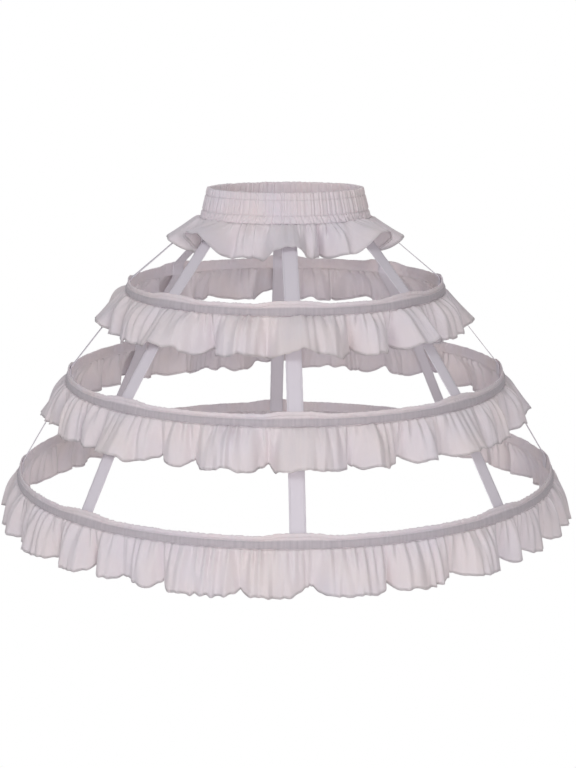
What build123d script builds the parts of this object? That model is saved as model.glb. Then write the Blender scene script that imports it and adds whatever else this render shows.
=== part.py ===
from build123d import *
import math
import os

# Crinoline cage: an elastic waistband and three boned hoops hung on eight tapes, with a
# gathered ruffle sewn below the waistband and below each hoop.
# Millimetres, +Z up. The origin is the centre of the waist opening, at half the height of
# the elastic. The front faces -Y. Left and right are the wearer's own, so left is +X.

# Waistband: outside sizes of the oval it takes round a waist.
WAIST_WIDTH = 260.0
WAIST_DEPTH = 200.0
ELASTIC_ROW = 36.0          # height of the row that holds the elastic
GATHER_ROW = 14.0           # height of the gathered row below it
ELASTIC_ROW_SPREAD = 9.0    # how much wider the foot of the elastic row is, each side
GATHER_ROW_SPREAD = 4.0     # how much wider again the seam of the gathered row is, each side
WAIST_WALL = 1.2            # gathered cloth, each side of the elastic
GATHER_WALL = 3.0           # bunched cloth of the gathered row
ELASTIC_HEIGHT = 30.0
ELASTIC_THICKNESS = 2.0

# Hoops: outside diameter of each casing, and how far its middle hangs below the origin.
UPPER_DIAMETER = 540.0
MIDDLE_DIAMETER = 748.0
LOWER_DIAMETER = 920.0
UPPER_DROP = 146.0
MIDDLE_DROP = 297.0
LOWER_DROP = 461.0
CASING_HEIGHT = 20.0
CASING_WALL = 1.2
FLANGE_THICKNESS = 2.0      # the casing's two layers, stitched together above the bone
BONE_HEIGHT = 8.0
BONE_THICKNESS = 2.0
BONE_END_GAP = 1.0          # between the bone's two ends, inside the connector
CONNECTOR_LENGTH = 40.0
CONNECTOR_WALL = 0.5
CONNECTOR_ANGLE = 157.5     # degrees round from the front, between two tapes at the back

# Tapes: one name, the angle at the hoops and the angle at the waist, round from the front.
TAPE_PLACES = [
    ("strap_front", 0.0, 0.0),
    ("strap_front_left", 45.0, 52.0),
    ("strap_left", 90.0, 92.0),
    ("strap_back_left", 135.0, 134.0),
    ("strap_back", 180.0, 180.0),
    ("strap_back_right", 225.0, 226.0),
    ("strap_right", 270.0, 268.0),
    ("strap_front_right", 315.0, 308.0),
]
TAPE_WIDTH = 25.0
TAPE_THICKNESS = 1.6        # measured level, not square to a sloping run
TAPE_TAB = 11.0             # stitched to the inside of the gathered row

# Ruffles
RUFFLE_THICKNESS = 3.0      # bunched cloth at the hem
RUFFLE_SEAM_THICKNESS = 1.5
WAIST_RUFFLE_DROP = 52.0
WAIST_RUFFLE_FLARE = 26.0   # how far the hem stands out between two tapes
WAIST_RUFFLE_FOLDS = 16
HOOP_RUFFLE_DROP = 64.0
HOOP_RUFFLE_FLARE = 20.0
HOOP_RUFFLE_FOLDS = {"upper": 24, "middle": 32, "lower": 40}
FOLD_DEPTH = 5.0            # how far a fold swings each way at the hem
TAPE_LIFT_WIDTH = 40.0      # distance beside a tape's edge over which it lifts the ruffle
HEM_LIFT = 6.0              # how much higher the hem is over a tape
POINTS_PER_FOLD = 8

# Clearances
SEAT_GAP = 0.3              # a piece and the cloth that it lies against
ELASTIC_FIT = 0.5           # elastic inside its row, all round
SLEEVE_FIT = 0.15           # bone inside its connector, all round
RUFFLE_CLEARANCE = 7.0      # tape and the inside of the ruffle over it, at the hem

# Heights and widths that follow from those sizes
WAIST_TOP = ELASTIC_ROW / 2
ELASTIC_ROW_FOOT = -ELASTIC_ROW / 2
WAIST_SEAM = ELASTIC_ROW_FOOT - GATHER_ROW
CAVITY_MARGIN = SLEEVE_FIT + CONNECTOR_WALL + SEAT_GAP
CAVITY_HEIGHT = BONE_HEIGHT + 2 * CAVITY_MARGIN
CAVITY_THICKNESS = BONE_THICKNESS + 2 * CAVITY_MARGIN
CHANNEL_HEIGHT = CAVITY_HEIGHT + 2 * CASING_WALL
CHANNEL_THICKNESS = CAVITY_THICKNESS + 2 * CASING_WALL
HOOPS = [
    ("upper", UPPER_DIAMETER / 2, -UPPER_DROP),
    ("middle", MIDDLE_DIAMETER / 2, -MIDDLE_DROP),
    ("lower", LOWER_DIAMETER / 2, -LOWER_DROP),
]


def waist_half_axes(z):
    """Half width and half depth of the waistband's outside at one height."""
    spread = ELASTIC_ROW_SPREAD * min(1.0, (WAIST_TOP - z) / ELASTIC_ROW)
    if z < ELASTIC_ROW_FOOT:
        spread += GATHER_ROW_SPREAD * (ELASTIC_ROW_FOOT - z) / GATHER_ROW
    return WAIST_WIDTH / 2 + spread, WAIST_DEPTH / 2 + spread


def oval(z, inset):
    """The waistband's outline at one height, moved inwards by inset."""
    half_width, half_depth = waist_half_axes(z)
    return Pos(0, 0, z) * Ellipse(half_width - inset, half_depth - inset)


def oval_band(heights, outer_inset, inner_inset):
    """A closed band between two insets of the waistband's outline."""
    outside = loft([oval(z, outer_inset) for z in heights], ruled=True)
    inside = loft([oval(z, inner_inset) for z in heights], ruled=True)
    return outside - inside


def waistband():
    elastic_row_wall = 2 * WAIST_WALL + ELASTIC_THICKNESS + 2 * ELASTIC_FIT
    upper_row = oval_band([WAIST_TOP, ELASTIC_ROW_FOOT], 0, elastic_row_wall)
    cavity_top = ELASTIC_HEIGHT / 2 + ELASTIC_FIT
    cavity = oval_band([cavity_top, -cavity_top], WAIST_WALL, elastic_row_wall - WAIST_WALL)
    lower_row = oval_band([ELASTIC_ROW_FOOT, WAIST_SEAM], 0, GATHER_WALL)
    return upper_row - cavity + lower_row


def waist_elastic():
    inset = WAIST_WALL + ELASTIC_FIT
    half_height = ELASTIC_HEIGHT / 2
    return oval_band([half_height, -half_height], inset, inset + ELASTIC_THICKNESS)


def ring(profile, start_angle, arc):
    """Turn a profile drawn on the XZ plane about Z, from an angle round from the front."""
    return Rot(0, 0, start_angle - 90) * revolve(profile, Axis.Z, arc)


def section(radius, z, thickness, height):
    """An upright rectangle on the XZ plane, centred at one radius and height."""
    return Plane.XZ * Pos(radius, z) * Rectangle(thickness, height)


def bone_centre(radius, z):
    """Radius and height of the middle of the bone inside one casing."""
    return radius - CHANNEL_THICKNESS / 2, z - CASING_HEIGHT / 2 + CHANNEL_HEIGHT / 2


def casing(radius, z):
    bone_radius, bone_z = bone_centre(radius, z)
    channel = section(bone_radius, bone_z, CHANNEL_THICKNESS, CHANNEL_HEIGHT)
    flange_radius = radius - CHANNEL_THICKNESS + FLANGE_THICKNESS / 2
    flange = section(flange_radius, z, FLANGE_THICKNESS, CASING_HEIGHT)
    cavity = section(bone_radius, bone_z, CAVITY_THICKNESS, CAVITY_HEIGHT)
    return ring(channel + flange - cavity, 0, 360)


def bone(radius, z):
    bone_radius, bone_z = bone_centre(radius, z)
    gap_angle = math.degrees(BONE_END_GAP / bone_radius)
    profile = section(bone_radius, bone_z, BONE_THICKNESS, BONE_HEIGHT)
    return ring(profile, CONNECTOR_ANGLE + gap_angle / 2, 360 - gap_angle)


def connector(radius, z):
    bone_radius, bone_z = bone_centre(radius, z)
    arc = math.degrees(CONNECTOR_LENGTH / bone_radius)
    bore_thickness = BONE_THICKNESS + 2 * SLEEVE_FIT
    bore_height = BONE_HEIGHT + 2 * SLEEVE_FIT
    sleeve = section(
        bone_radius, bone_z, bore_thickness + 2 * CONNECTOR_WALL, bore_height + 2 * CONNECTOR_WALL
    )
    profile = sleeve - section(bone_radius, bone_z, bore_thickness, bore_height)
    return ring(profile, CONNECTOR_ANGLE - arc / 2, arc)


def sagitta(curve_radius):
    """How far the edges of a flat tape stand out beyond its middle on a curved wall."""
    return (TAPE_WIDTH / 2) ** 2 / (2 * curve_radius)


def tape_station_on_waist(z, angle):
    """Middle of the tape and the way its face looks, inside the gathered row."""
    half_width, half_depth = waist_half_axes(z)
    turn = math.radians(angle)
    sine, cosine = math.sin(turn), math.cos(turn)
    curve_radius = math.hypot(half_width * cosine, half_depth * sine) ** 3 / (half_width * half_depth)
    facing = math.atan2(sine / half_width, cosine / half_depth)
    inset = GATHER_WALL + SEAT_GAP + sagitta(curve_radius) + TAPE_THICKNESS / 2
    x = half_width * sine - inset * math.sin(facing)
    y = -half_depth * cosine + inset * math.cos(facing)
    return z, x, y, math.degrees(facing)


def tape_station_on_hoop(radius, z, angle):
    """Middle of the tape and the way its face looks, inside one hoop's casing."""
    wall = radius - CHANNEL_THICKNESS
    distance = wall - SEAT_GAP - sagitta(wall) - TAPE_THICKNESS / 2
    turn = math.radians(angle)
    return z, distance * math.sin(turn), -distance * math.cos(turn), angle


def tape_stations(hoop_angle, waist_angle):
    """The tape's bends from top to bottom, each a height, a place and a facing."""
    stations = [
        tape_station_on_waist(WAIST_SEAM + TAPE_TAB, waist_angle),
        tape_station_on_waist(WAIST_SEAM, waist_angle),
    ]
    for _, radius, z in HOOPS:
        stations.append(tape_station_on_hoop(radius, z + CASING_HEIGHT / 2, hoop_angle))
        stations.append(tape_station_on_hoop(radius, z - CASING_HEIGHT / 2, hoop_angle))
    return stations


def tape(stations):
    level = [
        Pos(x, y, z) * Rot(0, 0, facing) * Rectangle(TAPE_WIDTH, TAPE_THICKNESS)
        for z, x, y, facing in stations
    ]
    return loft(level, ruled=True)


def tape_edges_at(stations, z):
    """Both edges of a tape at one height: angle round from the front and distance from the axis."""
    for upper, lower in zip(stations, stations[1:]):
        if upper[0] >= z >= lower[0]:
            share = (upper[0] - z) / (upper[0] - lower[0])
            return [tape_edge(upper, lower, share, side) for side in (-TAPE_WIDTH / 2, TAPE_WIDTH / 2)]
    return []


def tape_edge(upper, lower, share, side):
    """One edge of a tape, part of the way from one bend to the next."""
    ends = []
    for _, x, y, facing in (upper, lower):
        turn = math.radians(facing)
        ends.append((x + side * math.cos(turn), y + side * math.sin(turn)))
    x = ends[0][0] + share * (ends[1][0] - ends[0][0])
    y = ends[0][1] + share * (ends[1][1] - ends[0][1])
    return math.atan2(x, -y), math.hypot(x, y)


def closed_curve(points):
    return Edge.make_spline([Vector(*point) for point in points], periodic=True)


def polar(angle, radius, z):
    return radius * math.sin(angle), -radius * math.cos(angle), z


def turn_between(start, end):
    """The shorter way round from one angle to another."""
    return math.remainder(end - start, 2 * math.pi)


def tape_lift(angle, tape_angle, tape_radius):
    """1 over a tape, falling smoothly to 0 beside it."""
    away = tape_radius * turn_between(tape_angle, angle)
    return math.exp(-((away / TAPE_LIFT_WIDTH) ** 2))


def ruffle(top_radius, top_z, drop, flare, folds, tapes_below):
    """A gathered frill: smooth along its top seam, folded at its hem, and lifted by each tape."""
    count = folds * POINTS_PER_FOLD
    hem_z = top_z - drop
    at_seam = [edge for stations in tapes_below for edge in tape_edges_at(stations, top_z)]
    at_hem = [edge for stations in tapes_below for edge in tape_edges_at(stations, hem_z)]
    drifts = [turn_between(seam[0], hem[0]) for seam, hem in zip(at_seam, at_hem)]
    top, hem = [], []
    for angle in [2 * math.pi * step / count for step in range(count)]:
        lifts = [tape_lift(angle, *edge) for edge in at_hem]
        lifted = max(lifts, default=0.0)
        drift = sum(lift * drift for lift, drift in zip(lifts, drifts)) / max(1.0, sum(lifts))
        rises = [0.0]
        for lift, (_, tape_radius) in zip(lifts, at_hem):
            over_tape = tape_radius + TAPE_THICKNESS / 2 + RUFFLE_CLEARANCE + RUFFLE_THICKNESS
            rises.append(lift * (over_tape - top_radius(angle) - flare))
        fold = FOLD_DEPTH * math.cos(folds * angle) * (1 - lifted)
        top.append((angle - drift, top_radius(angle - drift), top_z))
        hem.append((angle, top_radius(angle) + flare + fold + max(rises), hem_z + HEM_LIFT * lifted))
    top_outer = closed_curve([polar(*point) for point in top])
    hem_outer = closed_curve([polar(*point) for point in hem])
    top_inner = closed_curve([polar(a, r - RUFFLE_SEAM_THICKNESS, z) for a, r, z in top])
    hem_inner = closed_curve([polar(a, r - RUFFLE_THICKNESS, z) for a, r, z in hem])
    walls = [(top_outer, hem_outer), (hem_outer, hem_inner), (hem_inner, top_inner), (top_inner, top_outer)]
    return Solid(Shell([Face.make_surface_from_curves(first, second) for first, second in walls]))


def waist_seam_radius(angle):
    half_width, half_depth = waist_half_axes(WAIST_SEAM)
    return half_width * half_depth / math.hypot(half_depth * math.sin(angle), half_width * math.cos(angle))


def save(name, shape):
    shape.label = name
    export_step(shape, f"parts/{name}.step")


def main():
    os.makedirs("parts", exist_ok=True)
    routes = {name: tape_stations(hoop, waist) for name, hoop, waist in TAPE_PLACES}
    save("waistband", waistband())
    save("waist_elastic", waist_elastic())
    save("waist_ruffle", ruffle(
        waist_seam_radius, WAIST_SEAM, WAIST_RUFFLE_DROP, WAIST_RUFFLE_FLARE,
        WAIST_RUFFLE_FOLDS, list(routes.values()),
    ))
    for name, radius, z in HOOPS:
        tapes_below = [] if name == "lower" else list(routes.values())
        save(f"hoop_{name}_casing", casing(radius, z))
        save(f"hoop_{name}_bone", bone(radius, z))
        save(f"hoop_{name}_connector", connector(radius, z))
        save(f"hoop_{name}_ruffle", ruffle(
            lambda angle: radius, z - CASING_HEIGHT / 2, HOOP_RUFFLE_DROP, HOOP_RUFFLE_FLARE,
            HOOP_RUFFLE_FOLDS[name], tapes_below,
        ))
    for name, stations in routes.items():
        save(name, tape(stations))


main()
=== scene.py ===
import functools
import math
import random
from collections import namedtuple

import bmesh
import bpy
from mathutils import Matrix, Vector, noise


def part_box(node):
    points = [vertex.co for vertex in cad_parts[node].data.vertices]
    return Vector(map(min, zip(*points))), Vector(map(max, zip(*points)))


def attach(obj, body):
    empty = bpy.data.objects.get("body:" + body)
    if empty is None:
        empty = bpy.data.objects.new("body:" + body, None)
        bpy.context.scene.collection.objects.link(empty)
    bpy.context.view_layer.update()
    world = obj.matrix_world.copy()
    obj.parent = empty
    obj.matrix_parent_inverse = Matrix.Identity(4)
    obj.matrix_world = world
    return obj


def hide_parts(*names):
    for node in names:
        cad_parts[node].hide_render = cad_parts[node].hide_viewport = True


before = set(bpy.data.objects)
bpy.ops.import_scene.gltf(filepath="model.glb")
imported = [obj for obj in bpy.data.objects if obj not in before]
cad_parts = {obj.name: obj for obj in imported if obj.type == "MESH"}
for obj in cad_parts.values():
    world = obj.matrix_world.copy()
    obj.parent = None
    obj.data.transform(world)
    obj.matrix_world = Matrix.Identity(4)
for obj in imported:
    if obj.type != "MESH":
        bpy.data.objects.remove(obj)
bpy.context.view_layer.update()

bl_info = {
    "name": "Crinoline Cage",
    "version": (1, 0, 0),
    "blender": (4, 5, 0),
    "location": "View3D > Sidebar > Crinoline",
    "description": "Dresses the packed crinoline cage in gathered white cloth and sets its stage",
    "category": "Add Mesh",
}

# Angles run round from the wearer's front (-Y) towards the wearer's left (+X).
BODY = "root"
HOOP_NAMES = ("upper", "middle", "lower")
TAPES = (
    ("strap_front", 0.0, 0.0),
    ("strap_front_left", 45.0, 52.0),
    ("strap_left", 90.0, 92.0),
    ("strap_back_left", 135.0, 134.0),
    ("strap_back", 180.0, 180.0),
    ("strap_back_right", 225.0, 226.0),
    ("strap_right", 270.0, 268.0),
    ("strap_front_right", 315.0, 308.0),
)
TAU = 2 * math.pi
MM = 0.001
RUFFLE_ROWS = 22
WAIST_RUFFLE_STEPS = 1000
RUFFLE_STEP = 2.0 * MM       # cloth along a hoop ruffle for each column of its mesh
CASING_STEP = 1.9 * MM
CAMERA_ASIDE = 4.3 * MM

Hoop = namedtuple("Hoop", "name radius bottom top")
Station = namedtuple("Station", "place facing")


# ---------------------------------------------------------------- sizes


class CageSizes(bpy.types.PropertyGroup):
    """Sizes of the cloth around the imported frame."""

    waist_half_width: bpy.props.FloatProperty(
        name="Waist half width", description="Half width of the waistband at its top edge",
        default=0.130, unit="LENGTH")
    waist_half_depth: bpy.props.FloatProperty(
        name="Waist half depth", description="Half depth of the waistband at its top edge",
        default=0.100, unit="LENGTH")
    row_spread: bpy.props.FloatProperty(
        name="Elastic row spread", description="How much wider the foot of the elastic row is",
        default=0.009, unit="LENGTH")
    gather_row: bpy.props.FloatProperty(
        name="Gathered row", description="Height of the row below the elastic",
        default=0.014, unit="LENGTH")
    tape_width: bpy.props.FloatProperty(
        name="Tape width", description="Width of each hanging tape", default=0.025, unit="LENGTH")
    tape_thickness: bpy.props.FloatProperty(
        name="Tape thickness", description="Thickness of each hanging tape",
        default=0.0011, unit="LENGTH")
    channel: bpy.props.FloatProperty(
        name="Channel depth", description="How far a casing stands in from its outer face",
        default=0.0063, unit="LENGTH")
    cloth_thickness: bpy.props.FloatProperty(
        name="Cloth thickness", description="Thickness of the ruffle cloth",
        default=0.0005, unit="LENGTH")


class RuffleSizes(bpy.types.PropertyGroup):
    """Cut and fall of the ruffles."""

    hoop_length: bpy.props.FloatProperty(
        name="Hoop ruffle", description="Length of a hoop's ruffle from seam to hem",
        default=0.074, unit="LENGTH")
    waist_length: bpy.props.FloatProperty(
        name="Waist ruffle", description="Length of the waist ruffle from seam to hem",
        default=0.067, unit="LENGTH")
    hem: bpy.props.FloatProperty(
        name="Hem", description="Depth of the turned hem", default=0.004, unit="LENGTH")
    fullness: bpy.props.FloatProperty(
        name="Fullness", description="Cut length of a ruffle over the length it is sewn to",
        default=1.5)


class ClothColours(bpy.types.PropertyGroup):
    """Colours of the cloth."""

    cool: bpy.props.FloatVectorProperty(
        name="Cool white", description="Cloth where it looks coolest", subtype="COLOR",
        size=3, default=(0.76, 0.715, 0.775))
    warm: bpy.props.FloatVectorProperty(
        name="Warm white", description="Cloth where it looks warmest", subtype="COLOR",
        size=3, default=(0.80, 0.725, 0.735))
    tape: bpy.props.FloatVectorProperty(
        name="Tape white", description="Colour of the hanging tapes", subtype="COLOR",
        size=3, default=(0.77, 0.735, 0.80))


class StageSizes(bpy.types.PropertyGroup):
    """Floor, light and camera."""

    floor_drop: bpy.props.FloatProperty(
        name="Floor", description="How far the floor lies below the waist", default=1.0, unit="LENGTH")
    camera_distance: bpy.props.FloatProperty(
        name="Camera distance", description="Level distance from the waist", default=2.838, unit="LENGTH")
    camera_height: bpy.props.FloatProperty(
        name="Camera height", description="Height above the waist", default=0.284, unit="LENGTH")
    camera_turn: bpy.props.FloatProperty(
        name="Camera turn", description="Turn round from the front", subtype="ANGLE",
        default=math.radians(-2.4))
    camera_pitch: bpy.props.FloatProperty(
        name="Camera pitch", description="How far the camera looks down", subtype="ANGLE",
        default=math.radians(12.0))
    lens: bpy.props.FloatProperty(
        name="Lens", description="Focal length on a 36 mm sensor, in millimetres", default=79.2)


def settings():
    return bpy.context.scene.crinoline


class CrinolineSettings(bpy.types.PropertyGroup):
    """All settings of the cage."""

    cage: bpy.props.PointerProperty(type=CageSizes)
    ruffles: bpy.props.PointerProperty(type=RuffleSizes)
    colours: bpy.props.PointerProperty(type=ClothColours)
    stage: bpy.props.PointerProperty(type=StageSizes)


# ---------------------------------------------------------------- places in the frame


@functools.cache
def cad_box(node):
    """A CAD node's box. Measuring it is slow, and the frame doesn't move."""
    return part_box(node)


@functools.cache
def cage_size(name):
    """One of the cage's sizes."""
    return getattr(settings().cage, name)


def around(angle, radius, z):
    return Vector((radius * math.sin(angle), -radius * math.cos(angle), z))


def mix(start, end, share):
    return start + (end - start) * share


def smooth(share):
    share = min(1.0, max(0.0, share))
    return share * share * (3 - 2 * share)


def turn_between(start, end):
    return math.remainder(end - start, TAU)


def ring_noise(angle, detail, seed):
    """Smooth noise from -1 to 1 that closes on itself round the ring."""
    return noise.noise(Vector((detail * math.cos(angle), detail * math.sin(angle), seed)))


def plateau(distance, reach):
    """1 near zero, falling to 0 past the reach on either side."""
    return math.exp(-((distance / reach) ** 4))


def hoops():
    found = []
    for name in HOOP_NAMES:
        low, high = cad_box(f"hoop_{name}_casing")
        found.append(Hoop(name, high.x, low.z, high.z))
    return found


def waist_heights():
    """Heights of the waistband's top, of the foot of its elastic row and of its seam."""
    low, high = cad_box("waistband")
    return high.z, low.z + cage_size("gather_row"), low.z


def waist_half_axes(z):
    """Half width and half depth of the waistband's outside at one height."""
    top, foot, seam = waist_heights()
    at_top = cage_size("waist_half_width")
    at_foot = at_top + cage_size("row_spread")
    if z >= foot:
        half_width = mix(at_top, at_foot, (top - z) / (top - foot))
    else:
        half_width = mix(at_foot, cad_box("waistband")[1].x, (foot - z) / (foot - seam))
    return half_width, half_width - at_top + cage_size("waist_half_depth")


def on_waist(angle, z, inset=0.0):
    """A point of the waistband's outline, in the direction that its facing gives."""
    half_width, half_depth = waist_half_axes(z)
    return Vector((
        (half_width - inset) * math.sin(angle), -(half_depth - inset) * math.cos(angle), z))


def waist_radius(angle, z):
    half_width, half_depth = waist_half_axes(z)
    return half_width * half_depth / math.hypot(half_depth * math.sin(angle), half_width * math.cos(angle))


def tape_stations(hoop_angle, waist_angle):
    """Where the middle of a tape bends, from top to bottom, and the way it faces there."""
    cage = settings().cage
    _, foot, seam = waist_heights()
    wall_inset = 3.3 * MM + cage.tape_thickness
    stations = []
    turn = math.radians(waist_angle)
    for z in (foot - 2 * MM, seam):
        half_width, half_depth = waist_half_axes(z)
        facing = math.atan2(math.sin(turn) / half_width, math.cos(turn) / half_depth)
        stations.append(Station(on_waist(turn, z) - around(facing, wall_inset, 0), facing))
    facing = math.radians(hoop_angle)
    for hoop in hoops():
        radius = hoop.radius - cage.channel - 1.4 * MM
        stations.append(Station(around(facing, radius, hoop.top), facing))
        stations.append(Station(around(facing, radius, hoop.bottom), facing))
    return stations


def tape_run(stations, z):
    """Angle, distance from the axis and slope from the vertical of a tape at one height."""
    for upper, lower in zip(stations, stations[1:]):
        if upper.place.z >= z > lower.place.z:
            share = (upper.place.z - z) / (upper.place.z - lower.place.z)
            place = upper.place.lerp(lower.place, share)
            outward = math.hypot(*lower.place.xy) - math.hypot(*upper.place.xy)
            slope = math.atan2(outward, upper.place.z - lower.place.z)
            return math.atan2(place.x, -place.y), math.hypot(*place.xy), slope
    return None


# ---------------------------------------------------------------- meshes


def make_piece(name, bm, material):
    """Makes an object of one CAD node's cloth, smooth and riding on the one body."""
    mesh = bpy.data.meshes.new(f"{name}_cloth")
    bm.to_mesh(mesh)
    bm.free()
    for polygon in mesh.polygons:
        polygon.use_smooth = True
    piece = bpy.data.objects.new(f"{name}_cloth", mesh)
    bpy.context.scene.collection.objects.link(piece)
    mesh.materials.append(material)
    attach(piece, BODY)
    return piece


def thicken(piece, thickness):
    wall = piece.modifiers.new("Wall", "SOLIDIFY")
    wall.thickness = thickness
    wall.offset = 0.0
    wall.use_even_offset = False
    return piece


def flat_cloth(steps, rows):
    """A flat cloth of quads, with each vertex's step along it and row down it."""
    bm = bmesh.new()
    bmesh.ops.create_grid(bm, x_segments=steps, y_segments=rows, size=1.0)
    places = {}
    for vertex in bm.verts:
        step = round((vertex.co.x + 1) / 2 * steps)
        row = round((1 - vertex.co.y) / 2 * rows)
        places[vertex] = (step, row)
    return bm, places


def lay_cloth_map(bm, places, across, down):
    """UVs in metres of flat cloth, from the two functions of a vertex's step and row."""
    layer = bm.loops.layers.uv.new("cloth")
    for face in bm.faces:
        for loop in face.loops:
            step, row = places[loop.vert]
            loop[layer].uv = (across(step), down(row))


def cloth_ring(name, rows, steps, place, length, depth_of_row, material, closed=False):
    """A cloth whose ends are sewn together round the ring, and its edges too if it is closed."""
    last = rows if closed else rows - 1
    bm, places = flat_cloth(steps, last)
    lay_cloth_map(bm, places, lambda step: length * step / steps, depth_of_row)
    joins = []
    for vertex, (step, row) in places.items():
        vertex.co = place(step % steps, row % rows)
        if step in (0, steps) or closed and row in (0, rows):
            joins.append(vertex)
    bmesh.ops.remove_doubles(bm, verts=joins, dist=1e-6)
    bmesh.ops.recalc_face_normals(bm, faces=bm.faces[:])
    return make_piece(name, bm, material)


def lengths_round(profile):
    """Distance round a closed profile to each of its points, and back to the first."""
    lengths = [0.0]
    for first, second in zip(profile, profile[1:] + profile[:1]):
        lengths.append(lengths[-1] + math.dist(first, second))
    return lengths


# ---------------------------------------------------------------- ruffles


Fold = namedtuple("Fold", "angle depth reach")
Column = namedtuple("Column", "angle fold lean sway big small tuck flutter")


class Ruffle:
    """How one gathered ruffle falls from its seam, worked out column by column."""

    def __init__(self, seam_radius, seam_z, mean_radius, length, tapes, seed, puff, lobe, spacing):
        self.seam_radius = seam_radius
        self.seam_z = seam_z
        self.mean_radius = mean_radius
        self.length = length
        self.tapes = tapes
        self.seed = seed
        self.puff = math.radians(puff)
        self.lobe = math.radians(lobe)
        self.folds = self.draw_folds(spacing)
        girth = TAU * mean_radius
        self.gather_counts = round(girth / 0.0175), round(girth / 0.0085)
        self.rise_over_tape = math.radians(5)

    def draw_folds(self, spacing):
        """Deep folds at uneven places round the ruffle."""
        draw = random.Random(self.seed)
        gaps = []
        while sum(gaps) < TAU * self.mean_radius:
            gaps.append(draw.uniform(*spacing))
        angle, folds = draw.uniform(0, 1), []
        for gap in gaps:
            angle += TAU * gap / sum(gaps)
            folds.append(Fold(angle, draw.uniform(0.55, 1.1), draw.uniform(0.012, 0.025)))
        return folds

    def column(self, angle):
        """What a fall line of cloth does at one angle, whatever its depth."""
        fold, lean = 0.0, 0.0
        for place, depth, reach in self.folds:
            away = self.mean_radius * turn_between(place, angle) / reach
            if abs(away) < 4:
                bump = depth * math.exp(-away * away)
                fold += bump
                lean += -2 * away * bump
        big_count, small_count = self.gather_counts
        warp = 2.2 * ring_noise(angle, 9 * self.mean_radius / 0.3, self.seed)
        big = math.sin(big_count * angle + 2.5 * warp)
        small = math.sin(small_count * angle + 4 * warp + 1.3 * big)
        sway = ring_noise(angle, 12 * self.mean_radius / 0.3, self.seed + 5)
        tuck = 0.5 + 0.5 * ring_noise(angle, 26 * self.mean_radius / 0.3, self.seed + 11)
        flutter = ring_noise(angle, 38 * self.mean_radius / 0.3, self.seed + 17)
        return Column(angle, fold, lean, sway, big, small, tuck, flutter)

    def over_tape(self, angle, depth):
        """How far a tape holds the cloth out at one angle and depth, and at what slope."""
        held, slope = 0.0, 0.0
        for seam_angle, hem_angle, hem_radius, tape_slope in self.tapes:
            middle = seam_angle + turn_between(seam_angle, hem_angle) * depth
            reach = mix(0.029, 0.038, depth)
            hold = plateau(mix(self.mean_radius, hem_radius, depth) * turn_between(middle, angle), reach)
            if hold > held:
                held, slope = hold, tape_slope
        return held, slope

    def fall(self, column, depth):
        """Angle from the vertical at which the cloth falls at one depth."""
        puffed = mix(self.puff, self.lobe, smooth(depth * 1.25)) * (1 + 0.55 * column.sway)
        folded = min(1.0, column.fold) * (puffed + math.radians(4))
        free = puffed - folded + math.radians(9) * column.flutter * depth
        held, slope = self.over_tape(column.angle, depth)
        least = slope + self.rise_over_tape + math.radians(6) * column.tuck * depth
        return mix(free, max(free, least), held), held

    def points(self, column, rows, hem):
        """The fall line as a list of places, from the seam to the turned-up edge of the hem."""
        shortening = 1 - 0.25 * min(1.0, column.fold) * (1 - self.over_tape(column.angle, 1.0)[0])
        step = self.length * shortening * (1 + 0.05 * column.flutter) / (rows - 1)
        out, down = 0.0, 0.0
        made = []
        for row in range(rows):
            depth = row / (rows - 1)
            angle, held = self.fall(column, depth)
            free = 1 - 0.5 * held
            gather = 4.6 * MM * column.big * math.exp(-((depth / 0.70) ** 2)) * (0.25 + 0.9 * column.tuck)
            gather += 1.8 * MM * column.small * math.exp(-((depth / 0.34) ** 2))
            gather *= free * smooth(0.25 + depth * 9)
            gather += 2.4 * MM * held * smooth(depth * 12)
            aside = 5.5 * MM * column.lean * depth * free + 1.6 * MM * column.flutter * depth
            made.append((out + gather * math.cos(angle), down - gather * math.sin(angle), aside))
            out += step * math.sin(angle)
            down += step * math.cos(angle)
        last_out, last_down, last_aside = made[-1]
        for back, inward in ((0.25, 0.9 * MM), (1.0, 0.8 * MM)):
            made.append((
                last_out - back * hem * math.sin(angle) - inward * math.cos(angle),
                last_down - back * hem * math.cos(angle) + inward * math.sin(angle),
                last_aside))
        return [self.in_frame(column.angle, *point) for point in made]

    def in_frame(self, angle, out, down, aside):
        radius = self.seam_radius(angle) + out
        return around(angle + aside / radius, radius, self.seam_z - down)


def ruffle_piece(name, ruffle, rows, steps, material):
    """Sews one ruffle: its mesh and thickness."""
    sizes = settings().ruffles
    columns = [ruffle.points(ruffle.column(TAU * step / steps), rows, sizes.hem) for step in range(steps)]
    cut_length = sizes.fullness * TAU * ruffle.mean_radius

    def depth_of_row(row):
        return -ruffle.length * min(row, rows - 1) / (rows - 1) - 0.5 * sizes.hem * max(0, row - rows + 1)

    piece = cloth_ring(
        name, rows + 2, steps, lambda step, row: columns[step][row],
        cut_length, depth_of_row, material)
    thicken(piece, settings().cage.cloth_thickness)
    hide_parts(name)
    ruffle.length + sizes.hem
    return piece


def tapes_under(seam_radius, seam_z, hem_z):
    """Where each tape passes below a seam: angle there, angle and radius at the hem, and slope.

    The slope is what cloth sewn to the seam needs to clear the tape all the way down."""
    found = []
    for _, hoop_angle, waist_angle in TAPES:
        stations = tape_stations(hoop_angle, waist_angle)
        seam = tape_run(stations, seam_z - 0.5 * MM)
        hem = tape_run(stations, hem_z)
        if seam and hem:
            across = math.atan2(hem[1] - seam_radius(hem[0]), seam_z - hem_z)
            drift = abs(turn_between(seam[0], hem[0]))
            found.append((seam[0], hem[0], hem[1], max(seam[2], across) + 2.5 * drift))
    return found


# ---------------------------------------------------------------- casings


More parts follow.
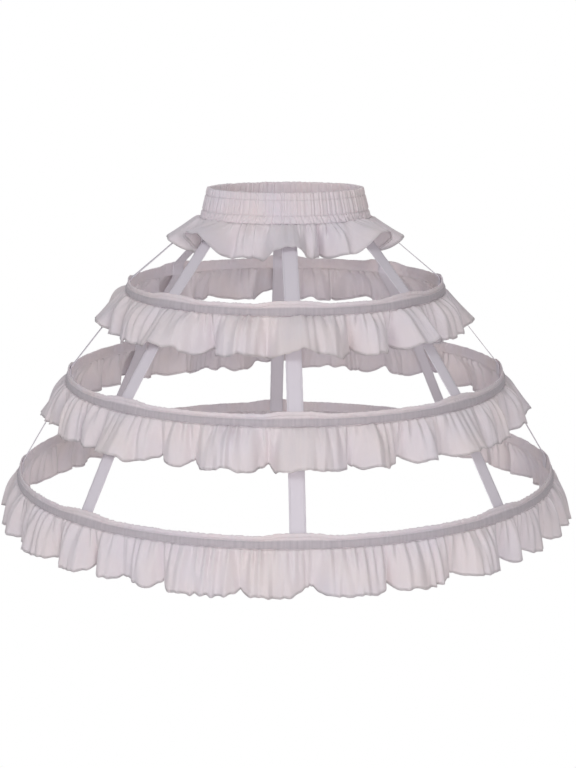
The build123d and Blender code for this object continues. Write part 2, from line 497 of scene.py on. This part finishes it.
def casing_profile():
    """Out from the outer face and up from the foot of a casing, round its section, in metres."""
    outline = [
        (-0.4, 1.0), (0.1, 3.0), (0.35, 6.0), (0.1, 9.0), (-1.1, 11.4), (-2.9, 12.5),
        (-3.9, 13.6), (-4.3, 15.4), (-4.4, 17.4), (-4.5, 19.2), (-5.1, 20.3), (-5.9, 20.3),
        (-6.25, 19.0), (-6.35, 17.0), (-6.4, 14.6), (-6.3, 12.4), (-6.6, 9.2), (-6.8, 6.0),
        (-6.6, 3.0), (-6.0, 0.9), (-4.6, 0.0), (-3.0, -0.1), (-1.6, 0.1), (-0.9, 0.4),
    ]
    return [(out * MM, up * MM) for out, up in outline]


def casing_piece(hoop, seed, material):
    """The ruched cloth round one bone, pulled up to a low peak by each tape."""
    profile = casing_profile()
    girth = TAU * hoop.radius
    steps = round(girth / CASING_STEP)
    counts = round(girth / 0.0072), round(girth / 0.013)
    rises = [math.radians(hoop_angle) for _, hoop_angle, _ in TAPES]

    def place(step, row):
        angle = TAU * step / steps
        out, up = profile[row]
        height = up / (20 * MM)
        warp = 3 * ring_noise(angle, 30, seed)
        fine = math.sin(counts[0] * angle + 4 * warp + 5 * height)
        broad = math.sin(counts[1] * angle + 3 * warp - 3 * height)
        bunch = 0.5 + 0.5 * ring_noise(angle, 14, seed + 3)
        on_flange = smooth((up - 11 * MM) / (3 * MM))
        inner = 1.0 if out < -5.5 * MM else 0.55
        pucker = mix(0.48, 0.62, on_flange) * fine + mix(0.25, 0.7, on_flange) * broad
        out += MM * pucker * (0.3 + 1.0 * bunch) * inner * (-1 if out < -5 * MM else 1)
        peak = max(plateau(hoop.radius * turn_between(rise, angle), 0.042) for rise in rises)
        lift = mix(-1.2, 3.6, peak) + 0.8 * ring_noise(angle, 20, seed + 7) + 0.35 * broad
        up += MM * lift * on_flange
        out += 0.3 * MM * ring_noise(angle, 24, seed + 9)
        return around(angle, hoop.radius + out, hoop.bottom + up)

    lengths = lengths_round(profile)
    name = f"hoop_{hoop.name}_casing"
    piece = cloth_ring(
        name, len(profile), steps, place, 1.15 * girth, lambda row: lengths[row],
        material, closed=True)
    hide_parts(name)
    girth * 1.15
    return piece


# ---------------------------------------------------------------- waistband


WAISTBAND_ROWS = 56
WAISTBAND_STEPS = 1080
WAIST_GIRTH = 0.78
PLEAT_PITCH = 8.8 * MM


def waistband_profile():
    """Inset from the outside and height of the waistband's section, from the top down and back up."""
    top, foot, seam = waist_heights()
    outside = [(0.0, mix(top - 0.6 * MM, seam + 0.4 * MM, row / 31)) for row in range(32)]
    inside = []
    for row in range(22):
        z = mix(seam + 0.4 * MM, top - 0.6 * MM, row / 21)
        inside.append((3.0 * MM if z < foot else 5.0 * MM, z))
    edge = [(2.6 * MM, top + 0.2 * MM), (1.2 * MM, top + 0.1 * MM)]
    return outside + inside + edge


def waistband_place(steps, profile, seed):
    top, foot, seam = waist_heights()
    count = round(WAIST_GIRTH / PLEAT_PITCH)
    fine_count = math.floor(1.7 * count)
    stitch_line = top - 11 * MM

    def place(step, row):
        angle = TAU * step / steps
        inset, z = profile[row]
        half_width, half_depth = waist_half_axes(z)
        warp = ring_noise(angle, 16, seed)
        in_lower_row = smooth((foot - z) / (3 * MM))
        slant = 5.0 * in_lower_row * (foot - z) / (foot - seam) * (1 if math.sin(angle) < 0 else -1)
        wander = 0.9 * noise.noise(Vector((9 * math.cos(angle), 9 * math.sin(angle), 60 * z)))
        pleat = abs(math.sin(0.5 * (count * angle + 6 * warp + slant + wander)))
        second = abs(math.sin(0.5 * (fine_count * angle + 5 * warp - slant)))
        uneven = 0.65 + 0.5 * ring_noise(angle, 40, seed + 2)
        puff = 1 - 0.85 * math.exp(-(((z - foot) / (1.6 * MM)) ** 2))
        puff *= 1 - 0.6 * math.exp(-(((z - stitch_line) / (1.2 * MM)) ** 2))
        puff *= 1 - 0.6 * smooth((seam + 3 * MM - z) / (3 * MM))
        swell = MM * puff * uneven * (3.9 * pleat ** 0.8 + 1.0 * second - 2.8)
        swell -= 0.7 * MM * (1 - puff)
        if inset > 2 * MM:
            swell *= -0.55
        out = swell - inset
        edge = max(0.0, (z - top + 5 * MM) / (5 * MM))
        rise = edge * MM * (0.8 * pleat - 0.5 + 0.9 * ring_noise(angle, 7, seed + 4))
        normal = Vector((math.sin(angle) / half_width, -math.cos(angle) / half_depth, 0)).normalized()
        return on_waist(angle, z) + normal * out + Vector((0, 0, rise))

    return place


def waistband_piece(material):
    profile = waistband_profile()
    lengths = lengths_round(profile)
    piece = cloth_ring(
        "waistband", WAISTBAND_ROWS, WAISTBAND_STEPS, waistband_place(WAISTBAND_STEPS, profile, 3.0),
        1.6 * WAIST_GIRTH, lambda row: lengths[row], material, closed=True)
    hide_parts("waistband")
    return piece


# ---------------------------------------------------------------- tapes


def tape_line(stations, spacing):
    """Points down the middle of a tape, with its bends eased, and the way it faces at each."""
    run_lengths = [(b.place - a.place).length for a, b in zip(stations, stations[1:])]
    total = sum(run_lengths)

    def at(distance):
        distance = min(max(distance, 0.0), total)
        for index, length in enumerate(run_lengths):
            if distance <= length or index == len(run_lengths) - 1:
                share = min(1.0, distance / length)
                upper, lower = stations[index], stations[index + 1]
                facing = upper.facing + turn_between(upper.facing, lower.facing) * share
                return upper.place.lerp(lower.place, share), facing
            distance -= length

    line = []
    count = round(total / spacing)
    for index in range(count + 1):
        distance = total * index / count
        near = [at(distance + offset * MM) for offset in (-4.5, -3, -1.5, 0, 1.5, 3, 4.5)]
        middle = sum((place for place, _ in near), Vector()) / len(near)
        if index in (0, count):
            middle = near[3][0]
        line.append((middle, near[3][1], distance))
    return line


def tape_piece(name, hoop_angle, waist_angle, material):
    cage = settings().cage
    line = tape_line(tape_stations(hoop_angle, waist_angle), 2.5 * MM)
    across = 10
    bm, places = flat_cloth(across, len(line) - 1)
    lay_cloth_map(
        bm, places, lambda column: (column / across - 0.5) * cage.tape_width, lambda row: line[row][2])
    seed = hoop_angle / 10
    for vertex, (column, row) in places.items():
        side = column / across - 0.5
        middle, facing, distance = line[row]
        edge_wave = 0.35 * MM * noise.noise(Vector((90 * distance, seed, 2 * side)))
        sideways = Vector((math.cos(facing), math.sin(facing), 0))
        place = middle + sideways * (side * cage.tape_width + edge_wave)
        place += around(facing, 0.25 * MM * noise.noise(Vector((45 * distance, 3 * side, seed + 4))), 0)
        vertex.co = place
    bmesh.ops.recalc_face_normals(bm, faces=bm.faces[:])
    piece = make_piece(name, bm, material)
    thicken(piece, cage.tape_thickness)
    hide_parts(name)
    return piece


# ---------------------------------------------------------------- materials


class Wire:
    """A socket that adds its own Math nodes when it is used in an expression."""

    def __init__(self, graph, socket):
        self.graph = graph
        self.socket = socket

    def math(self, operation, *others):
        return self.graph.node("ShaderNodeMath", {"operation": operation}, [self, *others])

    def __add__(self, other):
        return self.math("ADD", other)

    def __radd__(self, other):
        return self.math("ADD", other)

    def __sub__(self, other):
        return self.math("SUBTRACT", other)

    def __rsub__(self, other):
        return self.graph.node("ShaderNodeMath", {"operation": "SUBTRACT"}, [other, self])

    def __mul__(self, other):
        return self.math("MULTIPLY", other)

    def __rmul__(self, other):
        return self.math("MULTIPLY", other)

    def __truediv__(self, other):
        return self.math("DIVIDE", other)

    def sine(self):
        return self.math("SINE")

    def fraction(self):
        return self.math("FRACT")

    def size(self):
        return self.math("ABSOLUTE")

    def below(self, limit, soft):
        """1 under a limit, easing to 0 over the soft width past it."""
        ranged = {"interpolation_type": "SMOOTHSTEP", "clamp": True}
        return self.graph.node("ShaderNodeMapRange", ranged, {
            "Value": self, "From Min": limit, "From Max": limit + soft, "To Min": 1.0, "To Max": 0.0})


class Graph:
    """The nodes of one material."""

    def __init__(self, name):
        self.material = bpy.data.materials.new(name)
        self.material.use_nodes = True
        self.nodes = self.material.node_tree.nodes
        self.links = self.material.node_tree.links
        self.shader = self.nodes["Principled BSDF"]

    def node(self, kind, choices=None, inputs=(), output=0):
        """Any node: its type, its settings, then the values or wires of its sockets."""
        made = self.nodes.new(kind)
        for key, value in (choices or {}).items():
            setattr(made, key, value)
        pairs = inputs.items() if isinstance(inputs, dict) else enumerate(inputs)
        for key, value in pairs:
            self.feed(made.inputs[key], value)
        return Wire(self, made.outputs[output])

    def feed(self, socket, value):
        if isinstance(value, Wire):
            self.links.new(value.socket, socket)
        else:
            socket.default_value = value

    def finish(self, **inputs):
        for key, value in inputs.items():
            self.feed(self.shader.inputs[key.replace("_", " ").title()], value)
        return self.material

    def split(self, wire):
        made = self.nodes.new("ShaderNodeSeparateXYZ")
        self.links.new(wire.socket, made.inputs[0])
        return [Wire(self, made.outputs[axis]) for axis in range(3)]

    def blend(self, factor, first, second):
        made = self.nodes.new("ShaderNodeMix")
        made.data_type = "RGBA"
        self.feed(made.inputs["Factor"], factor)
        self.feed(made.inputs["A"], first)
        self.feed(made.inputs["B"], second)
        sockets = [socket for socket in made.outputs if socket.type == "RGBA"]
        return Wire(self, sockets[0])

    def noise(self, vector, scale, detail=2.0, roughness=0.5):
        return self.node("ShaderNodeTexNoise", None, {
            "Vector": vector, "Scale": scale, "Detail": detail, "Roughness": roughness})

    def stretched(self, vector, scale):
        return self.node("ShaderNodeMapping", None, {"Vector": vector, "Scale": scale})

    def bump(self, height, distance):
        return self.node("ShaderNodeBump", None, {
            "Height": height, "Distance": distance, "Strength": 1.0}, output=0)


def colour(value):
    return (*value, 1.0)


def weave(across, down, pitch):
    """Plain weave: threads over and under each other at one pitch, from 0 to 1."""
    warp = (across * (TAU / pitch)).sine()
    weft = (down * (TAU / pitch)).sine()
    return (warp * weft) * 0.5 + 0.5


def stitch_row(across, down, height, pitch):
    """A dashed line of thread at one height: 1 on the thread."""
    on_line = (down - height).size().below(0.25 * MM, 0.25 * MM)
    dash = ((across / pitch).fraction() - 0.5).size().below(0.34, 0.06)
    return on_line * dash


def groove(down, height, width):
    """A sunken line at one height."""
    return (down - height).size().below(0.1 * MM, width)


def cloth_material(name, stitches=(), streaks=1.0, crinkle=1.0, shade=1.0, channel=0.0):
    """Thin white woven cloth with gathers running down it and rows of stitching across it."""
    graph = Graph(name)
    colours = settings().colours
    texture = graph.node("ShaderNodeUVMap", {"uv_map": "cloth"})
    place = graph.node("ShaderNodeTexCoord", None, (), output=3)
    across, down, _ = graph.split(texture)
    threads = weave(across, down, 0.7 * MM)
    creases = graph.noise(place, 55.0, 4.0, 0.55)
    fine_creases = graph.noise(graph.stretched(place, (1.0, 1.0, 0.6)), 210.0, 3.0, 0.6)
    runs = graph.noise(graph.stretched(texture, (150.0, 9.0, 1.0)), 1.0, 3.0, 0.5)
    mottle = graph.noise(place, 11.0, 2.0, 0.5)
    slub = graph.noise(graph.stretched(texture, (35.0, 1400.0, 1.0)), 1.0, 1.0, 0.5)
    sewn = None
    for height, pitch in stitches:
        row = stitch_row(across, down, height, pitch)
        sewn = row if sewn is None else sewn.math("MAXIMUM", row)
    height = threads * (0.035 * MM) + slub * (0.05 * MM)
    height = height + creases * (1.1 * MM * crinkle) + fine_creases * (0.30 * MM * crinkle)
    height = height + runs * (0.8 * MM * streaks)
    if sewn is not None:
        for line, _ in stitches:
            height = height - groove(down, line, 1.2 * MM) * (0.45 * MM)
        height = height + sewn * (0.35 * MM)
    tone = ((mottle - 0.5) * 2.6 + 0.5 + (runs - 0.5) * 0.5).math("MINIMUM", 1.0).math("MAXIMUM", 0.0)
    base = graph.blend(tone, colour(colours.cool), colour(colours.warm))
    # Painted shade: the hollows between threads and the valleys of the fine creases are darkened towards a
    # darker warm tone, scaled by shade.
    dark = tuple(channel * 0.88 for channel in colours.warm)
    weave_crease_shade = (1 - threads) * 0.10 + (1 - fine_creases) * 0.10
    base = graph.blend(weave_crease_shade * shade, base, colour(dark))
    if channel:
        # Painted shade: the lower band of the casing, over the bone channel, is darkened to a deep cool
        # tone, streaked by the runs noise.
        channel_shade = down.below(channel - 1.5 * MM, 3.0 * MM) * (runs * 0.7 + 0.45)
        base = graph.blend(channel_shade, base, colour(tuple(part * 0.60 for part in colours.cool)))
    rough = creases * 0.12 + 0.80
    material = graph.finish(base_color=base, roughness=rough, normal=graph.bump(height, 1.0))
    shader = graph.shader
    shader.inputs["Subsurface Weight"].default_value = 0.22
    shader.inputs["Subsurface Radius"].default_value = (0.0035, 0.0028, 0.0030)
    shader.inputs["Subsurface Scale"].default_value = 1.0
    shader.inputs["Sheen Weight"].default_value = 0.18
    shader.inputs["Sheen Roughness"].default_value = 0.45
    shader.inputs["Specular IOR Level"].default_value = 0.25
    return material


def tape_material(name):
    """Flat twill tape: slanted ribs, firm edges and a row of stitching near each edge."""
    graph = Graph(name)
    colours = settings().colours
    texture = graph.node("ShaderNodeUVMap", {"uv_map": "cloth"})
    place = graph.node("ShaderNodeTexCoord", None, (), output=3)
    across, along, _ = graph.split(texture)
    ribs = ((across.size() + along * 0.8) * (TAU / (1.3 * MM))).sine() * 0.5 + 0.5
    ends = (across * (TAU / (0.6 * MM))).sine() * 0.5 + 0.5
    soft = graph.noise(place, 70.0, 3.0, 0.5)
    lengthwise = graph.noise(graph.stretched(texture, (420.0, 6.0, 1.0)), 1.0, 2.0, 0.5)
    half = settings().cage.tape_width / 2
    edge = 1 - across.size().below(half - 1.7 * MM, 0.6 * MM)
    sewn = stitch_row(along, across.size(), half - 2.6 * MM, 3.0 * MM)
    line = groove(across.size(), half - 2.6 * MM, 0.9 * MM)
    height = ribs * (0.05 * MM) + ends * (0.025 * MM) + soft * (0.35 * MM) + lengthwise * (0.16 * MM)
    height = height + edge * (0.12 * MM) - line * (0.22 * MM) + sewn * (0.25 * MM)
    # Painted shade: darker in the valleys between the twill ribs and in the stitch groove; the lengthwise
    # streaks are random tone of the tape itself.
    light = colour(colours.tape)
    dark = colour(tuple(channel * 0.86 for channel in colours.tape))
    shade = (1 - ribs) * 0.16 + line * 0.30 + (1 - lengthwise) * 0.25
    base = graph.blend(shade, light, dark)
    material = graph.finish(
        base_color=base, roughness=soft * 0.1 + 0.72, normal=graph.bump(height, 1.0))
    graph.shader.inputs["Sheen Weight"].default_value = 0.15
    graph.shader.inputs["Specular IOR Level"].default_value = 0.3
    return material


def elastic_material():
    """Braided elastic: close ribs running up and down."""
    graph = Graph("braided elastic")
    place = graph.node("ShaderNodeTexCoord", None, (), output=3)
    x, y, z = graph.split(place)
    turn = graph.node("ShaderNodeMath", {"operation": "ARCTAN2"}, [x, y])
    ribs = (turn * 260.0).sine() * 0.5 + 0.5
    rows = (z * (TAU / (1.6 * MM))).sine() * 0.5 + 0.5
    height = ribs * (0.25 * MM) + rows * (0.12 * MM)
    # Painted shade: the braid is darker in the grooves between its ribs and rows and lighter on their
    # tops.
    base = graph.blend(ribs * 0.6 + rows * 0.3, colour((0.62, 0.60, 0.58)), colour((0.85, 0.84, 0.82)))
    return graph.finish(base_color=base, roughness=rows * 0.1 + 0.7, normal=graph.bump(height, 1.0))


def bone_material():
    """White coated spring steel, with faint scuffs."""
    graph = Graph("coated spring steel")
    place = graph.node("ShaderNodeTexCoord", None, (), output=3)
    scuffs = graph.noise(graph.stretched(place, (1.0, 1.0, 6.0)), 160.0, 4.0, 0.7)
    coat = graph.noise(place, 600.0, 2.0, 0.5)
    base = graph.blend(scuffs, colour((0.78, 0.77, 0.75)), colour((0.90, 0.90, 0.89)))
    return graph.finish(
        base_color=base, roughness=scuffs * 0.25 + 0.3, normal=graph.bump(coat * (0.05 * MM), 1.0))


def connector_material():
    """Plain crimped steel sleeve, brushed round."""
    graph = Graph("crimped steel sleeve")
    place = graph.node("ShaderNodeTexCoord", None, (), output=3)
    brushed = graph.noise(graph.stretched(place, (40.0, 40.0, 900.0)), 1.0, 3.0, 0.6)
    base = graph.blend(brushed, colour((0.50, 0.50, 0.51)), colour((0.70, 0.70, 0.71)))
    material = graph.finish(
        base_color=base, roughness=brushed * 0.2 + 0.28, normal=graph.bump(brushed * (0.03 * MM), 1.0))
    graph.shader.inputs["Metallic"].default_value = 1.0
    return material


def floor_material():
    """Pale floor that shows white but throws back only soft light."""
    graph = Graph("pale floor")
    place = graph.node("ShaderNodeTexCoord", None, (), output=3)
    grain = graph.noise(place, 3.0, 3.0, 0.5)
    base = graph.blend(grain, colour((0.84, 0.82, 0.81)), colour((0.88, 0.86, 0.85)))
    graph.finish(base_color=base, roughness=0.85)
    lit = graph.node("ShaderNodeEmission", None, {"Color": (1, 1, 1, 1), "Strength": 1.0})
    seen = graph.node("ShaderNodeLightPath")
    plain = Wire(graph, graph.shader.outputs[0])
    shown = graph.node("ShaderNodeMixShader", None, [seen, plain, lit])
    graph.feed(graph.nodes["Material Output"].inputs["Surface"], shown)
    return graph.material


def paint_node(node, material):
    """Gives a CAD node that stays in view a better material."""
    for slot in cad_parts[node].material_slots:
        slot.material = material


# ---------------------------------------------------------------- operators


class CRINOLINE_OT_waistband(bpy.types.Operator):
    """Make the gathered waistband over its elastic"""

    bl_idname = "crinoline.waistband"
    bl_label = "Waistband"

    def execute(self, context):
        top, foot, seam = waist_heights()
        lines = ((11 * MM, 2.6 * MM), (top - foot, 2.6 * MM))
        waistband_piece(cloth_material("waistband cloth", lines, streaks=0.9, crinkle=0.35))
        paint_node("waist_elastic", elastic_material())
        return {"FINISHED"}


class CRINOLINE_OT_waist_ruffle(bpy.types.Operator):
    """Make the ruffle below the waistband, lifted by each tape"""

    bl_idname = "crinoline.waist_ruffle"
    bl_label = "Waist Ruffle"

    def execute(self, context):
        sizes = settings().ruffles
        seam = waist_heights()[2]

        def seam_radius(angle):
            return waist_radius(angle, seam) - 1.2 * MM

        tapes = tapes_under(seam_radius, seam, seam - 0.6 * sizes.waist_length)
        ruffle = Ruffle(
            seam_radius, seam + 0.5 * MM, 0.128,
            sizes.waist_length, tapes, seed=12, puff=74, lobe=16, spacing=(0.036, 0.068))
        lines = ((-1.5 * MM, 2.8 * MM), (-sizes.waist_length + 2.6 * MM, 2.8 * MM))
        ruffle_piece("waist_ruffle", ruffle, RUFFLE_ROWS, WAIST_RUFFLE_STEPS,
                     cloth_material("waist ruffle cloth", lines))
        return {"FINISHED"}


class CRINOLINE_OT_casings(bpy.types.Operator):
    """Make the ruched casing of each hoop, and finish the bone and connector inside it"""

    bl_idname = "crinoline.casings"
    bl_label = "Casings"

    def execute(self, context):
        cloth = cloth_material(
            "casing cloth", ((15.2 * MM, 2.8 * MM),), streaks=0.5, crinkle=0.5, shade=1.2,
            channel=12.6 * MM)
        bone, connector = bone_material(), connector_material()
        for index, hoop in enumerate(hoops()):
            casing_piece(hoop, 21.0 + 6 * index, cloth)
            paint_node(f"hoop_{hoop.name}_bone", bone)
            paint_node(f"hoop_{hoop.name}_connector", connector)
        return {"FINISHED"}


class CRINOLINE_OT_hoop_ruffles(bpy.types.Operator):
    """Make the ruffle sewn below each hoop"""

    bl_idname = "crinoline.hoop_ruffles"
    bl_label = "Hoop Ruffles"

    def execute(self, context):
        sizes = settings().ruffles
        lines = ((-1.5 * MM, 2.8 * MM), (-sizes.hoop_length + 2.6 * MM, 2.8 * MM))
        cloth = cloth_material("hoop ruffle cloth", lines)
        for index, hoop in enumerate(hoops()):
            seam_radius = hoop.radius - 2.0 * MM
            tapes = tapes_under(
                lambda angle: seam_radius, hoop.bottom, hoop.bottom - 0.8 * sizes.hoop_length)
            ruffle = Ruffle(
                lambda angle: seam_radius, hoop.bottom + 0.6 * MM, hoop.radius,
                sizes.hoop_length, tapes, seed=40 + index,
                puff=62 - 11 * index, lobe=13, spacing=(0.058, 0.135))
            steps = round(TAU * hoop.radius / RUFFLE_STEP)
            ruffle_piece(
                f"hoop_{hoop.name}_ruffle", ruffle, RUFFLE_ROWS, steps, cloth)
        return {"FINISHED"}


class CRINOLINE_OT_tapes(bpy.types.Operator):
    """Make the hanging tapes, from the waist seam to the lowest hoop"""

    bl_idname = "crinoline.tapes"
    bl_label = "Tapes"

    def execute(self, context):
        material = tape_material("hanging tape")
        for name, hoop_angle, waist_angle in TAPES:
            tape_piece(name, hoop_angle, waist_angle, material)
        return {"FINISHED"}


class CRINOLINE_OT_stage(bpy.types.Operator):
    """Lay the floor, set soft lights and place the camera"""

    bl_idname = "crinoline.stage"
    bl_label = "Stage"

    def execute(self, context):
        stage = settings().stage
        self.lay_floor(stage)
        self.set_world()
        self.add_light("key light", (-2.2, -2.6, 2.4), 1.5, 38.0, (0.98, 0.975, 1.0))
        self.add_light("fill light", (0.3, -3.5, 0.42), 0.9, 38.0, (1.0, 0.955, 0.945))
        self.add_light("back light", (0.4, 2.8, 1.6), 2.4, 24.0, (1.0, 0.93, 0.91))
        self.add_camera(stage)
        context.scene.view_settings.view_transform = "Standard"
        return {"FINISHED"}

    def lay_floor(self, stage):
        bm = bmesh.new()
        bmesh.ops.create_circle(bm, cap_ends=True, segments=64, radius=14.0)
        bmesh.ops.translate(bm, vec=(0, 0, -stage.floor_drop), verts=bm.verts[:])
        mesh = bpy.data.meshes.new("floor")
        bm.to_mesh(mesh)
        bm.free()
        mesh.materials.append(floor_material())
        floor = bpy.data.objects.new("floor", mesh)
        bpy.context.scene.collection.objects.link(floor)

    def set_world(self):
        world = bpy.data.worlds.new("soft studio")
        world.use_nodes = True
        nodes, links = world.node_tree.nodes, world.node_tree.links
        backdrop = nodes["Background"]
        backdrop.inputs["Color"].default_value = (1, 1, 1, 1)
        backdrop.inputs["Strength"].default_value = 1.0
        ambient = nodes.new("ShaderNodeBackground")
        ambient.inputs["Color"].default_value = (0.99, 0.98, 1.0, 1)
        ambient.inputs["Strength"].default_value = 0.33
        seen = nodes.new("ShaderNodeLightPath")
        choose = nodes.new("ShaderNodeMixShader")
        links.new(seen.outputs["Is Camera Ray"], choose.inputs["Fac"])
        links.new(ambient.outputs[0], choose.inputs[1])
        links.new(backdrop.outputs[0], choose.inputs[2])
        links.new(choose.outputs[0], nodes["World Output"].inputs["Surface"])
        bpy.context.scene.world = world

    def add_light(self, name, place, size, power, tint):
        light = bpy.data.lights.new(name, "AREA")
        light.shape = "DISK"
        light.size = size
        light.energy = power
        light.color = tint
        lamp = bpy.data.objects.new(name, light)
        lamp.location = place
        aim = Vector((0, 0, -0.28)) - Vector(place)
        lamp.rotation_euler = aim.to_track_quat("-Z", "Y").to_euler()
        bpy.context.scene.collection.objects.link(lamp)

    def add_camera(self, stage):
        data = bpy.data.cameras.new("camera")
        data.lens = stage.lens
        data.sensor_width = 36.0
        camera = bpy.data.objects.new("camera", data)
        right = Vector((math.cos(stage.camera_turn), math.sin(stage.camera_turn), 0))
        back = around(stage.camera_turn, stage.camera_distance, stage.camera_height)
        camera.location = back + right * CAMERA_ASIDE
        camera.rotation_euler = (math.pi / 2 - stage.camera_pitch, 0, stage.camera_turn)
        bpy.context.scene.collection.objects.link(camera)
        bpy.context.scene.camera = camera


class CRINOLINE_PT_panel(bpy.types.Panel):
    """Lists the pieces of the cage and its settings"""

    bl_label = "Crinoline"
    bl_idname = "CRINOLINE_PT_panel"
    bl_space_type = "VIEW_3D"
    bl_region_type = "UI"
    bl_category = "Crinoline"

    def draw(self, context):
        for operator in OPERATORS:
            self.layout.operator(operator.bl_idname)
        groups = context.scene.crinoline
        for group in (groups.cage, groups.ruffles, groups.colours, groups.stage):
            box = self.layout.box()
            for key in group.__annotations__:
                box.prop(group, key)


OPERATORS = (
    CRINOLINE_OT_waistband,
    CRINOLINE_OT_waist_ruffle,
    CRINOLINE_OT_casings,
    CRINOLINE_OT_hoop_ruffles,
    CRINOLINE_OT_tapes,
    CRINOLINE_OT_stage,
)
CLASSES = (
    CageSizes, RuffleSizes, ClothColours, StageSizes, CrinolineSettings, *OPERATORS, CRINOLINE_PT_panel)


def register():
    for each in CLASSES:
        bpy.utils.register_class(each)
    bpy.types.Scene.crinoline = bpy.props.PointerProperty(type=CrinolineSettings)


def unregister():
    del bpy.types.Scene.crinoline
    for each in reversed(CLASSES):
        bpy.utils.unregister_class(each)


def main():
    register()
    bpy.ops.crinoline.stage()
    bpy.ops.crinoline.waistband()
    bpy.ops.crinoline.waist_ruffle()
    bpy.ops.crinoline.casings()
    bpy.ops.crinoline.hoop_ruffles()
    bpy.ops.crinoline.tapes()


if __name__ == "__main__":
    main()
